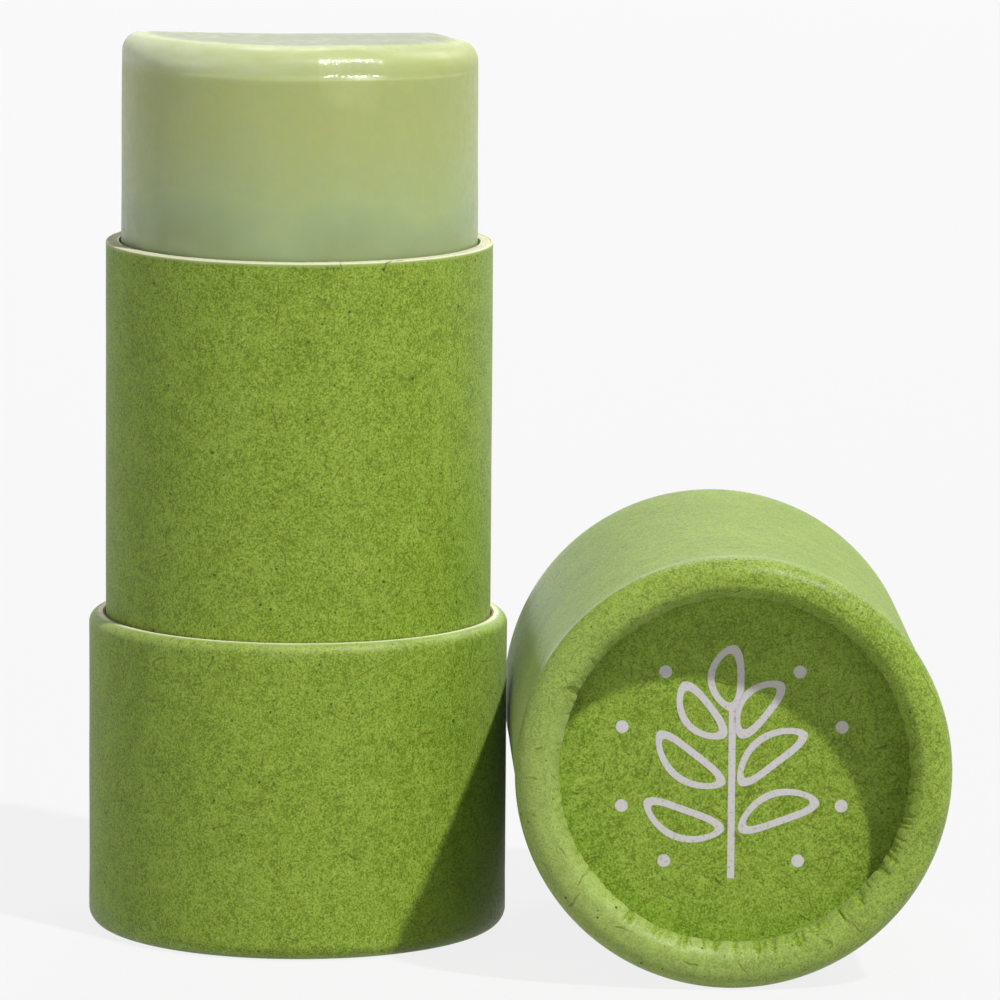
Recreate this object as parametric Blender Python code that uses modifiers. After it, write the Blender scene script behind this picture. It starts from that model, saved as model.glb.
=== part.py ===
"""Lip balm in a paper push-up tube, standing beside its own cap.

The tube is wound board covered with green kraft paper. A base sleeve holds a
narrower neck tube, and its lower end is rolled inwards round the neck's foot.
A finger reaches through that rolled foot and pushes a disc up the neck, and
the balm rises on it. The cap is a second tube of the base's diameter. Its
closed end is rolled inwards round the flange of a drawn board disc.

Metres, +Z up. The origin is under the middle of the whole, on the surface
that tube and cap rest on.
"""

import math
from dataclasses import dataclass

import bpy

# Papers and boards
WRAP_PAPER = 0.00015
FACING_PAPER = 0.00015
LINER_PAPER = 0.00010
BARRIER_PAPER = 0.00010
SLEEVE_BOARD = 0.00086
NECK_BOARD = 0.00055
RING_BOARD = 0.00080
PUSH_BOARD = 0.00100
DISC_BOARD = 0.00080

# Fits between them
GLUE_LINE = 0.00002
NECK_FIT = 0.00008
PUSH_FIT = 0.00005
BALM_FIT = 0.00010
SEAT_GAP = 0.00005
CAP_APART = 0.00010

# Base sleeve and neck. The cap is made from the same tube as the base.
TUBE_DIAMETER = 0.0280
BASE_HEIGHT = 0.0211
FOOT_BEND_INSIDE = 0.00007
FOOT_TURN_IN = 0.0035
NECK_RISE = 0.0250
NECK_EDGE_LAND = 0.00005

# Rims of base and cap, where the wrap is folded over the board
RIM_LAND = 0.00020
RIM_BOARD_SHOWS = 0.00011

# Cap
CAP_HEADROOM = 0.0034
ROLL_BEND_INSIDE = 0.00032
ROLL_TURN_IN = 0.0036
ROLL_BULGE = 0.00015
ROLL_EASE = 0.00205
FLANGE_BEND_INSIDE = 0.00020

# Push disc and balm
RING_HEIGHT = 0.0050
BALM_LENGTH = 0.0370
BALM_EDGE_ROUND = 0.00120
BALM_DISH = 0.00012
BALM_DISH_SHARES = (0, 0.5)
BALM_TAPER = 0.00010
BALM_FALL = 0.00120
BALM_SHOWS = 0.01399

# How the cap lies: its axis runs along Y, its closed end in front of the tube
CAP_FRONT = 0.0230

# Facets
SIDES = 48
CORNER_STEPS = 3
SHARP_ANGLE = math.radians(30)
MERGE_DISTANCE = 0.000001

# Colours, linear
KRAFT_GREEN = (0.223, 0.332, 0.060, 1.0)
KRAFT_GREEN_SIDE = (0.200, 0.305, 0.052, 1.0)
BOARD_TAN = (0.445, 0.300, 0.150, 1.0)
BOARD_PALE = (0.640, 0.560, 0.400, 1.0)
GREASEPROOF = (0.700, 0.680, 0.590, 1.0)
BALM_GREEN = (0.328, 0.402, 0.171, 1.0)

TUBE_RADIUS = TUBE_DIAMETER / 2
SLEEVE_WALL = WRAP_PAPER + GLUE_LINE + SLEEVE_BOARD
RIM_ROUND = SLEEVE_WALL - RIM_BOARD_SHOWS - GLUE_LINE - RIM_LAND
NECK_TOP = BASE_HEIGHT + NECK_RISE
NECK_RADIUS = TUBE_RADIUS - SLEEVE_WALL - NECK_FIT
NECK_WALL = WRAP_PAPER + NECK_BOARD + LINER_PAPER + 2 * GLUE_LINE
BORE_RADIUS = NECK_RADIUS - NECK_WALL
FACING_FRONT = ROLL_TURN_IN + GLUE_LINE
DISC_FRONT = FACING_FRONT + FACING_PAPER + GLUE_LINE
CAP_LENGTH = DISC_FRONT + DISC_BOARD + CAP_HEADROOM + NECK_RISE
RING_LOWEST = FOOT_TURN_IN + SEAT_GAP
BARRIER_LOWEST = RING_LOWEST + RING_HEIGHT + GLUE_LINE
BALM_LOWEST = BARRIER_LOWEST + BARRIER_PAPER + GLUE_LINE
PUSHED_UP = NECK_TOP + BALM_SHOWS - BALM_LENGTH - BALM_LOWEST


@dataclass
class RolledTube:
    """A paper-covered board tube with one end rolled inwards.

    Heights run up from the roll. Inside the roll, the turned-in leg and the
    outer wall leave a slot, which clasps what the tube holds.
    """

    length: float
    bend_inside: float
    turn_in: float
    slot: float
    bulge: float = 0
    ease: float = 0
    radius: float = TUBE_RADIUS
    wall: float = SLEEVE_WALL

    @property
    def bore(self):
        return self.radius - self.wall

    @property
    def corner(self):
        """Outer radius of the roll's two bends."""
        return self.wall + self.bend_inside

    @property
    def mouth(self):
        """Radius of the opening inside the roll."""
        return self.bore - self.slot - self.wall

    @property
    def fullest(self):
        """Largest radius, at the roll's outer corner."""
        return self.radius + self.bulge


def base_shape():
    """The base's roll clasps the foot of the neck tube."""
    return RolledTube(
        length=BASE_HEIGHT,
        bend_inside=FOOT_BEND_INSIDE,
        turn_in=FOOT_TURN_IN,
        slot=NECK_FIT + NECK_WALL + GLUE_LINE,
    )


def cap_shape():
    """The cap's roll clasps the flange of its disc, and is a little fuller than the tube."""
    return RolledTube(
        length=CAP_LENGTH,
        bend_inside=ROLL_BEND_INSIDE,
        turn_in=ROLL_TURN_IN,
        slot=NECK_FIT + DISC_BOARD + GLUE_LINE,
        bulge=ROLL_BULGE,
        ease=ROLL_EASE,
    )


# Profiles are lists of (radius, height). Each runs down its outer side.


def arc(centre, radius, start_degrees, end_degrees, steps=CORNER_STEPS):
    """Points of an arc in the profile plane, both ends included."""
    points = []
    for step in range(steps + 1):
        angle = math.radians(start_degrees + (end_degrees - start_degrees) * step / steps)
        points.append((centre[0] + radius * math.cos(angle), centre[1] + radius * math.sin(angle)))
    return points


def rim_path(tube, depth, fold_radius):
    """The wrap's fold over the open rim, at a depth below the outer skin."""
    top = tube.length - depth
    centre = (tube.radius - RIM_ROUND, tube.length - RIM_ROUND)
    return [(fold_radius, top)] + arc(centre, RIM_ROUND - depth, 90, 0)


def roll_path(tube, depth, steps=CORNER_STEPS):
    """From the wall, round the roll, to the end of the turned-in leg."""
    points = []
    if tube.ease:
        points.append((tube.radius - depth, tube.corner + tube.ease))
    points += arc((tube.fullest - tube.corner, tube.corner), tube.corner - depth, 0, -90, steps)
    points += arc((tube.mouth + tube.corner, tube.corner), tube.corner - depth, -90, -180, steps)
    points.append((tube.mouth + depth, tube.turn_in))
    return points


def wrap_profile(tube):
    """Kraft paper: over the rim, down the wall, round the roll and up its leg."""
    fold_radius = tube.bore + RIM_BOARD_SHOWS + GLUE_LINE
    skin = rim_path(tube, 0, fold_radius) + roll_path(tube, 0)
    under = rim_path(tube, WRAP_PAPER, fold_radius) + roll_path(tube, WRAP_PAPER)
    return skin + under[::-1]


def board_profile(tube):
    """Wound board under the wrap, with its raw edge bare inside the rim."""
    depth = WRAP_PAPER + GLUE_LINE
    edge = [(tube.bore, tube.length), (tube.bore + RIM_BOARD_SHOWS, tube.length)]
    covered = rim_path(tube, depth, tube.bore + RIM_BOARD_SHOWS) + roll_path(tube, depth)
    inside = roll_path(tube, tube.wall, 1)
    return edge + covered + inside[::-1]


def ring_profile(outer, inner, bottom, top):
    return [(outer, top), (outer, bottom), (inner, bottom), (inner, top)]


def disc_profile(radius, bottom, top):
    return [(0, top), (radius, top), (radius, bottom), (0, bottom)]


def neck_wrap_profile(foot):
    """Kraft paper round the neck, its cut edge a little softened at the rim."""
    inner = NECK_RADIUS - WRAP_PAPER
    edge_round = WRAP_PAPER - NECK_EDGE_LAND
    softened = arc((NECK_RADIUS - edge_round, NECK_TOP - edge_round), edge_round, 90, 0)
    return softened + [(NECK_RADIUS, foot), (inner, foot), (inner, NECK_TOP)]


def balm_profile():
    """Cast stick: a shallow dish on top, a round edge, and a slight draft."""
    top = BALM_LOWEST + BALM_LENGTH
    foot_radius = BORE_RADIUS - BALM_FIT
    head_radius = foot_radius - BALM_TAPER
    flat = head_radius - BALM_EDGE_ROUND
    dish = [(flat * share, top - BALM_DISH * (1 - share**2)) for share in BALM_DISH_SHARES]
    edge = arc((flat, top - BALM_EDGE_ROUND), BALM_EDGE_ROUND, 90, 0, 2 * CORNER_STEPS)
    return dish + edge + [(foot_radius, BALM_LOWEST), (0, BALM_LOWEST)]


def drawn_disc_profile(tube):
    """Board disc with a flange that stands in the roll's slot."""
    flange_outer = tube.bore - GLUE_LINE
    bend = DISC_BOARD + FLANGE_BEND_INSIDE
    centre = (flange_outer - bend, DISC_FRONT - FLANGE_BEND_INSIDE)
    bend_outer = arc(centre, bend, 90, 0)
    bend_inner = arc(centre, FLANGE_BEND_INSIDE, 0, 90, 1)
    flange_end = [(flange_outer, tube.corner), (flange_outer - DISC_BOARD, tube.corner)]
    back = DISC_FRONT + DISC_BOARD
    return [(0, back)] + bend_outer + flange_end + bend_inner + [(0, DISC_FRONT)]


# Objects


def clear_scene():
    for old in list(bpy.data.objects):
        bpy.data.objects.remove(old, do_unlink=True)


def make_collection(name):
    collection = bpy.data.collections.new(name)
    bpy.context.scene.collection.children.link(collection)
    return collection


def make_axis(collection, name, place, tilt=0):
    """An empty on the axis that a group of pieces shares."""
    empty = bpy.data.objects.new(name, None)
    empty.empty_display_size = TUBE_RADIUS
    empty.location = place
    empty.rotation_euler = (tilt, 0, 0)
    collection.objects.link(empty)
    return empty


def make_material(name, colour, roughness, subsurface=0):
    material = bpy.data.materials.new(name)
    material.use_nodes = True
    shader = material.node_tree.nodes["Principled BSDF"]
    shader.inputs["Base Color"].default_value = colour
    shader.inputs["Roughness"].default_value = roughness
    shader.inputs["Metallic"].default_value = 0
    shader.inputs["Subsurface Weight"].default_value = subsurface
    material.diffuse_color = colour
    return material


def turn(axis, name, profile, material):
    """A round piece: the profile screwed once round the axis, smooth but for its edges."""
    touches_axis = profile[0][0] == 0
    corners = [(radius, 0, height) for radius, height in profile]
    edges = [(i, i + 1) for i in range(len(corners) - 1)]
    if not touches_axis:
        edges.append((len(corners) - 1, 0))
    outline = bpy.data.meshes.new(name)
    outline.from_pydata(corners, edges, [])
    piece = bpy.data.objects.new(name, outline)
    axis.users_collection[0].objects.link(piece)
    piece.parent = axis
    screw = piece.modifiers.new("turned", "SCREW")
    screw.steps = SIDES
    screw.render_steps = SIDES
    screw.use_merge_vertices = True
    screw.merge_threshold = MERGE_DISTANCE
    solid = bpy.data.meshes.new_from_object(piece.evaluated_get(bpy.context.evaluated_depsgraph_get()))
    piece.modifiers.clear()
    piece.data = solid
    bpy.data.meshes.remove(outline)
    solid.name = name
    solid.shade_smooth()
    solid.set_sharp_from_angle(angle=SHARP_ANGLE)
    solid.materials.append(material)
    return piece


# Sub-parts


def make_base(axis):
    """Outer sleeve: wound board in a green kraft wrap, rolled in at the foot."""
    tube = base_shape()
    wrap = make_material("green kraft, base", KRAFT_GREEN, 0.62)
    board = make_material("wound board, base", BOARD_TAN, 0.85)
    turn(axis, "base_wrap", wrap_profile(tube), wrap)
    turn(axis, "base_tube", board_profile(tube), board)


def make_neck(axis):
    """Inner tube: liner, board and wrap, their foot standing in the base's roll."""
    foot = base_shape().corner + SEAT_GAP
    board_outer = NECK_RADIUS - WRAP_PAPER - GLUE_LINE
    board_inner = board_outer - NECK_BOARD
    wrap = make_material("green kraft, neck", KRAFT_GREEN_SIDE, 0.62)
    board = make_material("wound board, neck", BOARD_PALE, 0.85)
    liner = make_material("greaseproof liner", GREASEPROOF, 0.45)
    turn(axis, "neck_wrap", neck_wrap_profile(foot), wrap)
    turn(axis, "neck_tube", ring_profile(board_outer, board_inner, foot, NECK_TOP), board)
    turn(axis, "neck_liner", ring_profile(board_inner - GLUE_LINE, BORE_RADIUS, foot, NECK_TOP), liner)


def make_plunger(axis):
    """Push disc in its ring, barrier paper and balm. Heights are at their lowest place."""
    ring_top = RING_LOWEST + RING_HEIGHT
    ring_outer = BORE_RADIUS - PUSH_FIT
    ring_inner = ring_outer - RING_BOARD
    disc_radius = ring_inner - GLUE_LINE
    barrier_top = BARRIER_LOWEST + BARRIER_PAPER
    board = make_material("push disc board", BOARD_TAN, 0.80)
    edge = make_material("push ring board", BOARD_PALE, 0.85)
    paper = make_material("barrier paper", GREASEPROOF, 0.45)
    balm = make_material("balm", BALM_GREEN, 0.35, subsurface=0.4)
    turn(axis, "push_ring", ring_profile(ring_outer, ring_inner, RING_LOWEST, ring_top), edge)
    turn(axis, "push_disc", disc_profile(disc_radius, ring_top - PUSH_BOARD, ring_top), board)
    turn(axis, "barrier_disc", disc_profile(ring_outer, BARRIER_LOWEST, barrier_top), paper)
    slope_top(turn(axis, "balm", balm_profile(), balm))


def slope_top(stick):
    """The balm set in a leaning mould, so its top falls away towards the back."""
    points = stick.data.vertices
    reach = BORE_RADIUS - BALM_FIT - BALM_TAPER
    below_edge = BALM_LOWEST + BALM_LENGTH - 2 * BALM_EDGE_ROUND
    for point in points:
        if point.co.z > below_edge:
            point.co.z -= BALM_FALL * (point.co.y + reach) / (2 * reach)


def make_cap(axis):
    """Cap tube, wrap and clasped disc. Heights run from the closed end."""
    tube = cap_shape()
    facing_radius = tube.bore - DISC_BOARD - FLANGE_BEND_INSIDE - 2 * GLUE_LINE
    facing_profile = disc_profile(facing_radius, FACING_FRONT, FACING_FRONT + FACING_PAPER)
    wrap = make_material("green kraft, cap", KRAFT_GREEN, 0.60)
    board = make_material("wound board, cap", BOARD_TAN, 0.85)
    disc = make_material("cap disc board", BOARD_TAN, 0.85)
    facing = make_material("green kraft, cap facing", KRAFT_GREEN_SIDE, 0.65)
    turn(axis, "cap_wrap", wrap_profile(tube), wrap)
    turn(axis, "cap_tube", board_profile(tube), board)
    turn(axis, "cap_disc", drawn_disc_profile(tube), disc)
    turn(axis, "cap_facing", facing_profile, facing)


def stick_place():
    """Foot of the tube's axis, with the middle of tube and cap at the origin."""
    right_end = TUBE_DIAMETER + CAP_APART + cap_shape().fullest
    return (TUBE_RADIUS - right_end) / 2, (CAP_FRONT - TUBE_RADIUS) / 2


def cap_lie():
    """Centre of the closed end, and how far the lying cap droops towards its open rim.

    It rests on its fuller roll and on the open rim, beside the base.
    """
    tube = cap_shape()
    droop = math.atan(tube.bulge / (tube.length - RIM_ROUND - tube.corner))
    foremost = (tube.fullest - tube.corner) * math.sin(droop)
    height = tube.fullest * math.cos(droop) + tube.corner * math.sin(droop)
    stick_x, stick_y = stick_place()
    place_x = stick_x + TUBE_DIAMETER + CAP_APART
    return (place_x, stick_y - CAP_FRONT + foremost, height), droop


def main():
    clear_scene()
    parts = make_collection("lip_balm_stick")
    stick_x, stick_y = stick_place()
    cap_end, droop = cap_lie()
    stick = make_axis(parts, "stick_axis", (stick_x, stick_y, 0))
    push = make_axis(parts, "push_axis", (stick_x, stick_y, PUSHED_UP))
    cap = make_axis(parts, "cap_axis", cap_end, -math.pi / 2 - droop)
    make_base(stick)
    make_neck(stick)
    make_plunger(push)
    make_cap(cap)

    free_above = NECK_TOP - BARRIER_LOWEST - BARRIER_PAPER - PUSHED_UP
    print(f"stick axis at x {stick_x:.5f}, y {stick_y:.5f}; cap's closed end at {cap_end}")
    print(f"neck radius {NECK_RADIUS:.5f}, bore radius {BORE_RADIUS:.5f}")
    print(f"push disc travel: {PUSHED_UP:.4f} down, {free_above:.4f} up to the neck's rim")
    print(f"mouth radii: cap {cap_shape().mouth:.5f}, foot {base_shape().mouth:.5f}")


main()
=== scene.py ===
# %% [markdown]
# # A paper push-up tube of lip balm, with its cap beside it
#
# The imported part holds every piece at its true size: a base sleeve, a narrower
# neck, the push disc with the balm on it, and a cap that lies on its side. But
# its round pieces have 48 flat sides and plain colours. This lesson turns each
# piece again, finely, and gives it the marks of its making: puckers where the
# tube was rolled in, cut edges, fibres in the paper, and the balm's soft skin.

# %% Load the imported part
import random
from math import atan, atan2, ceil, copysign, cos, degrees, dist, exp, hypot, log, pi, radians, sin

import bmesh
import bpy
from mathutils import Matrix, Vector, noise


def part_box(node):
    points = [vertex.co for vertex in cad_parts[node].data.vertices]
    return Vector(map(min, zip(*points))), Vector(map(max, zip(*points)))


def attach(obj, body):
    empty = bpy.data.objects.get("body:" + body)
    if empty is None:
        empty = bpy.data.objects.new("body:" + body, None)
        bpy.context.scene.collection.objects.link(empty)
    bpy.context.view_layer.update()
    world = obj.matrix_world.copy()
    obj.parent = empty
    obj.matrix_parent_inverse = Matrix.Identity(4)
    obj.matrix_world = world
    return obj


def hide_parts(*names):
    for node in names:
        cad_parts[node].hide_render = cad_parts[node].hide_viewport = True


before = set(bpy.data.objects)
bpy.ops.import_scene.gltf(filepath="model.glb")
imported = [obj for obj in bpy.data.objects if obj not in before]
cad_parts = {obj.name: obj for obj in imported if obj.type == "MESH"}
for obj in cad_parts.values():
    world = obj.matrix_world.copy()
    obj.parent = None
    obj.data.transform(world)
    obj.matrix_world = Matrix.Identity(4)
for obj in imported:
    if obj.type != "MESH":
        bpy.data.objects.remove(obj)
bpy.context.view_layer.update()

MM = 0.001

# %% [markdown]
# ## Sizes
#
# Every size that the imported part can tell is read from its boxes, so the new
# pieces can't drift away from it. Paper and board thicknesses are written down
# here. All sizes and profiles are in millimetres, because such small numbers
# are easier to picture.

# %% Read the sizes


def box_mm(node):
    low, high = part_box(node)
    return [v / MM for v in low], [v / MM for v in high]


def upright(node):
    """Radius, foot and top of a round piece that stands on the stick's axis."""
    low, high = box_mm(node)
    return (high[0] - low[0]) / 2, low[2], high[2]


STICK_AXIS = [(low + high) / 2 for low, high in zip(*box_mm("base_wrap"))][:2]
TUBE_RADIUS, _, BASE_HEIGHT = upright("base_wrap")
NECK_RADIUS, NECK_FOOT, NECK_TOP = upright("neck_wrap")
LINER_OUTER = upright("neck_liner")[0]
BALM_RADIUS, BALM_FOOT, BALM_TOP = upright("balm")
RING, DISC, BARRIER = (upright(name) for name in ("push_ring", "push_disc", "barrier_disc"))

WRAP_PAPER = 0.15
LINER_PAPER = 0.10
GLUE_LINE = 0.02
SLEEVE_WALL = 1.03
NECK_BOARD = 0.55
RING_BOARD = 0.80
DISC_BOARD = 0.80
FACING_PAPER = 0.15
BORE = TUBE_RADIUS - SLEEVE_WALL
print(f"tube {TUBE_RADIUS:.2f}, neck {NECK_RADIUS:.2f}, balm {BALM_RADIUS:.2f} mm in radius")

# %% [markdown]
# ## Where the cap lies
#
# The cap was modelled upright in its own frame, closed end down, and then laid
# over. Its rolled end is a little fuller, so the cap droops by a fraction of a
# degree towards its open rim. One matrix carries every cap piece from its own
# frame into the shared one.

# %% Place the cap
RIM_ROUND = 0.70
RIM_BOARD_SHOWS = 0.11
CAP_LENGTH = 32.99
CAP_CORNER = 1.35
CAP_BULGE = 0.15
CAP_EASE = 2.05
CAP_TURN_IN = 3.60
CAP_MOUTH = 11.04
CAP_FULLEST = TUBE_RADIUS + CAP_BULGE
FACING_FRONT = CAP_TURN_IN + GLUE_LINE
DISC_FRONT = FACING_FRONT + FACING_PAPER + GLUE_LINE

cap_low, cap_high = box_mm("cap_wrap")
droop = atan(CAP_BULGE / (CAP_LENGTH - RIM_ROUND - CAP_CORNER))
cap_end = Vector((
    (cap_low[0] + cap_high[0]) / 2,
    cap_low[1] + (CAP_FULLEST - CAP_CORNER) * sin(droop),
    CAP_FULLEST * cos(droop) + CAP_CORNER * sin(droop),
))
STICK_PLACE = Matrix.Translation(Vector((*STICK_AXIS, 0)) * MM)
CAP_PLACE = Matrix.Translation(cap_end * MM) @ Matrix.Rotation(-pi / 2 - droop, 4, "X")
print(f"the cap droops by {degrees(droop):.2f} degrees")

# %% [markdown]
# ## Turning a profile
#
# Everything here is round, so every piece starts as a profile, a line of
# (radius, height) points, spun about the axis. One spin in 720 small steps is
# slow, because the operator searches all it has made at each step. Spinning a
# twelfth of a turn and copying that wedge round is far quicker. The wedges are
# merged along their edges, and the normals are made to point out.
#
# Each point remembers how far along the profile it lies, so that the shaping
# can tell the outside of a roll from its inside.

# %% Helpers for profiles and turning
SIDES, WEDGES = 720, 12
PLAIN_SIDES = 360
MERGE = 0.001 * MM


def arc(centre, radius, start, end, steps):
    """Points of an arc in the profile plane, angles in degrees."""
    turns = [radians(start + (end - start) * i / steps) for i in range(steps + 1)]
    return [(centre[0] + radius * cos(t), centre[1] + radius * sin(t)) for t in turns]


def run(start, end, spacing):
    """Points between two ends, neither of them included."""
    count = max(1, ceil(dist(start, end) / spacing))
    return [
        (start[0] + (end[0] - start[0]) * i / count, start[1] + (end[1] - start[1]) * i / count)
        for i in range(1, count)
    ]


def turned(profile, closed=True, sides=SIDES, wedges=WEDGES):
    """Spin a profile in millimetres once round the axis."""
    mesh = bmesh.new()
    along = mesh.verts.layers.float.new("along")
    travelled = 0.0
    outline = []
    for i, (radius, height) in enumerate(profile):
        travelled += dist(profile[i - 1], profile[i]) if i else 0.0
        corner = mesh.verts.new((radius * MM, 0, height * MM))
        corner[along] = travelled
        outline.append(corner)
    edges = [mesh.edges.new(pair) for pair in zip(outline, outline[1:])]
    if closed:
        edges.append(mesh.edges.new((outline[-1], outline[0])))
    bmesh.ops.spin(
        mesh, geom=outline + edges, cent=(0, 0, 0), axis=(0, 0, 1),
        angle=2 * pi / wedges, steps=sides // wedges,
    )
    wedge = mesh.verts[:] + mesh.edges[:] + mesh.faces[:]
    for turn in range(1, wedges):
        copied = bmesh.ops.duplicate(mesh, geom=wedge)["geom"]
        bmesh.ops.rotate(
            mesh, cent=(0, 0, 0), matrix=Matrix.Rotation(2 * pi * turn / wedges, 3, "Z"),
            verts=[part for part in copied if isinstance(part, bmesh.types.BMVert)],
        )
    bmesh.ops.remove_doubles(mesh, verts=mesh.verts, dist=MERGE)
    bmesh.ops.recalc_face_normals(mesh, faces=mesh.faces)
    return mesh


# %% [markdown]
# ## Shaping by hand, in code
#
# A real paper tube is never perfectly round. The shaping helper passes every
# point's radius, turn and height through a function that moves it a little, as
# a thumb would, and gives it a number for the material: above 0 where the paper
# is paler from handling or painted paler as painted highlight, below 0 where it
# is painted darker as painted shade. That number stays on the mesh as an
# attribute for the material to read.
#
# The noise is taken at the point's place on the cylinder, not at its angle, so
# it closes on itself without a step after a full turn.

# %% Helpers for shaping


def shaped(mesh, move):
    """Move every point by its radius, turn, height and place along the profile."""
    along = mesh.verts.layers.float["along"]
    wear_and_painted_light = mesh.verts.layers.float.new("wear_and_painted_light")
    for point in mesh.verts:
        radius = hypot(point.co.x, point.co.y) / MM
        turn = atan2(point.co.y, point.co.x)
        radius, turn, height, wear_and_light = move(radius, turn, point.co.z / MM, point[along])
        point.co = Vector((radius * cos(turn), radius * sin(turn), height)) * MM
        point[wear_and_painted_light] = wear_and_light
    return mesh


def polished(mesh, share_at):
    """Say how far handling has polished each point, for the material to read."""
    polish = mesh.verts.layers.float.new("polish")
    for point in mesh.verts:
        radius, turn = hypot(point.co.x, point.co.y) / MM, atan2(point.co.y, point.co.x)
        point[polish] = share_at(radius, point.co.z / MM, turn)
    return mesh


def wander(radius, turn, height, size, seed):
    """Smooth noise from -1 to 1 over the surface, with lumps of a given size in millimetres."""
    place = Vector((radius * cos(turn), radius * sin(turn), height)) / size
    return noise.noise(place + Vector((seed * 7.31, seed * 3.77, seed * 5.19)))


def ease(value, start, end):
    """0 before start, 1 after end, and smooth between them."""
    share = min(max((value - start) / (end - start), 0.0), 1.0)
    return share * share * (3 - 2 * share)


def angle_between(a, b):
    return (a - b + pi) % (2 * pi) - pi


def side_share(turn, side):
    """1 at one side of the axis, 0 at the other, and a cosine between them."""
    return 0.5 + 0.5 * cos(angle_between(turn, side))


# %% [markdown]
# ## Finishing a piece
#
# The last step is the same for all: the mesh is moved to its place, so that its
# object can stay at the origin, its faces are smoothed except over real edges,
# the piece is tied to its body, and the imported node that it stands for is
# hidden.

# %% Helpers that finish a piece
SHARP = radians(40)


def new_object(name, data):
    made = bpy.data.objects.new(name, data)
    bpy.context.scene.collection.objects.link(made)
    return made


def mesh_object(mesh, name, material):
    data = bpy.data.meshes.new(name)
    mesh.to_mesh(data)
    mesh.free()
    data.materials.append(material)
    return new_object(name, data)


def finished(mesh, name, body, material, slot=None, node=None):
    mesh.transform(CAP_PLACE if body == "cap" else STICK_PLACE)
    piece = mesh_object(mesh, name, material)
    data = piece.data
    data.shade_smooth()
    data.set_sharp_from_angle(angle=SHARP)
    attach(piece, body)
    if node:
        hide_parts(node)
    data.calc_loop_triangles()
    print(f"{name}: {len(data.vertices)} points, {len(data.loop_triangles)} triangles")


# %% [markdown]
# ## Small helpers for materials
#
# A procedural material is a net of nodes. Each helper adds one node, fills its
# sockets and hands its result back, so that a material reads like a recipe. A
# helper finds the net through the first socket that it is given. Patterns are
# measured in millimetres, so a Mapping node first enlarges the coordinates.

# %% Helpers for nodes


def plug(made, sockets):
    """Link or set some inputs of a node, and hand the node back."""
    for key, value in sockets.items():
        if isinstance(value, bpy.types.NodeSocket):
            made.id_data.links.new(value, made.inputs[key])
        else:
            made.inputs[key].default_value = value
    return made


def node(beside, kind, sockets=None, **settings):
    """Add a node to a net, which is given as itself or as one of its sockets."""
    made = beside.id_data.nodes.new("ShaderNode" + kind)
    for key, value in settings.items():
        setattr(made, key, value)
    return plug(made, sockets or {})


def fresh_material(name, **sockets):
    material = bpy.data.materials.new(name)
    material.use_nodes = True
    shader = material.node_tree.nodes["Principled BSDF"]
    plug(shader, {key.replace("_", " "): value for key, value in sockets.items()})
    return material, material.node_tree, shader


def millimetres(beside, stretch=(1, 1, 1), shift=(0, 0, 0)):
    """The object's own coordinates in millimetres, stretched or shifted if asked."""
    return node(beside, "Mapping", {
        "Vector": node(beside, "TexCoord").outputs["Object"],
        "Scale": [1000 * s for s in stretch],
        "Location": shift,
    }).outputs["Vector"]


def clouds(place, scale, detail, roughness):
    return node(place, "TexNoise", {
        "Vector": place, "Scale": scale, "Detail": detail, "Roughness": roughness}).outputs["Fac"]


def marked(tree, name):
    """The number of that name, which shaped() or polished() left on each point."""
    return node(tree, "Attribute", attribute_name=name).outputs["Fac"]


def sums(operation, *values, clamp=False):
    made = node(values[0], "Math", dict(enumerate(values)), operation=operation, use_clamp=clamp)
    return made.outputs[0]


def product(first, second, clamp=False):
    return sums("MULTIPLY", first, second, clamp=clamp)


def vectors(operation, *values, output=0):
    made = node(values[0], "VectorMath", dict(enumerate(values)), operation=operation)
    return made.outputs[output]


def between(value, low, high, out_low=0.0, out_high=1.0):
    """Smoothly maps a range of values to another."""
    return node(value, "MapRange", {
        "Value": value, "From Min": low, "From Max": high, "To Min": out_low, "To Max": out_high,
    }, interpolation_type="SMOOTHSTEP").outputs["Result"]


def mixed(share, colour, tint):
    """A colour with a share of a plain tint in it."""
    sockets = {0: share, 6: colour, 7: (*tint, 1.0)}
    return node(share, "Mix", sockets, data_type="RGBA").outputs[2]


def toned(value, stops):
    """A colour ramp from (position, colour) pairs."""
    made = node(value, "ValToRGB", {"Fac": value})
    ramp = made.color_ramp
    while len(ramp.elements) < len(stops):
        ramp.elements.new(0.5)
    for element, (position, colour) in zip(ramp.elements, stops):
        element.position = position
        element.color = (*colour, 1.0)
    return made.outputs["Color"]


def bumped(height, strength, depth, **sockets):
    """A normal that follows a height, for a relief of so many millimetres."""
    sockets |= {"Height": height, "Strength": strength, "Distance": depth * MM}
    return node(height, "Bump", sockets).outputs["Normal"]
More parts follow.
